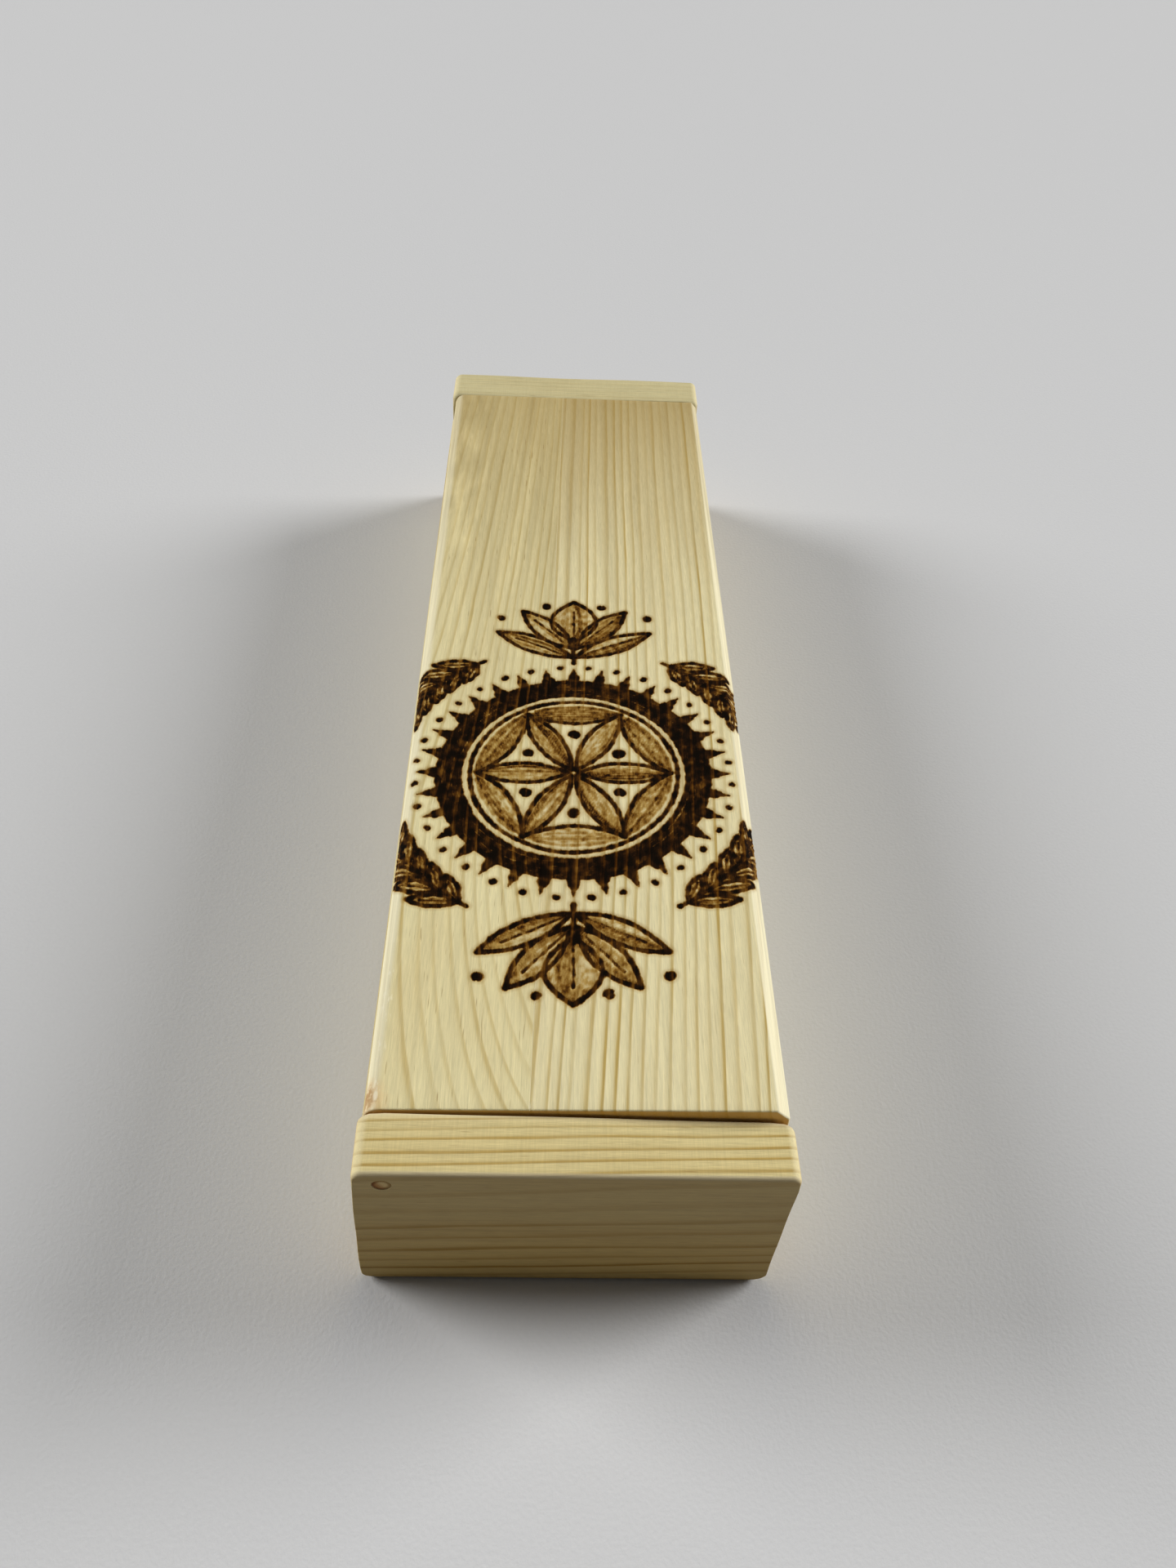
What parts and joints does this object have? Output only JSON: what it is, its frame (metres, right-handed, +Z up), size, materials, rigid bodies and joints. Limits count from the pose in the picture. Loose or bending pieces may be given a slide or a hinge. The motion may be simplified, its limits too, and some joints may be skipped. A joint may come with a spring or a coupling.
{
  "type": "wooden pencil box",
  "caption": "Slim wooden pencil box: long walls and a bottom panel between solid end blocks, with an edge-glued lid that turns over sideways on wooden pins.",
  "frame": {"origin": "on the table, under the middle of the box", "axes": "+X across the box to the lid's free edge, +Y along the box from the front end block to the back one, +Z up"},
  "size_m": [0.06, 0.21, 0.0371],
  "materials": {
    "pine": "sanded pine with a thin clear wax, fine grain lines",
    "lid_pine": "sanded pine with a thin clear wax and a burnt ornament",
    "panel": "bare thin plywood",
    "pin": "bare dowel, end grain at the face"
  },
  "bodies": {
    "box": {"front_end_block": "pine", "back_end_block": "pine", "hinge_side_wall": "pine", "opening_side_wall": "pine", "bottom_panel": "panel", "front_hinge_pin": "pin", "back_hinge_pin": "pin"},
    "lid": {"lid_hinge_board": "lid_pine", "lid_free_board": "lid_pine"}
  },
  "joints": [
    {"name": "lid_hinge", "type": "hinge", "parent": "box", "child": "lid", "pos_m": [-0.026, 0, 0.032], "axis": [0, -1, 0], "range_deg": [0, 186]}
  ]
}
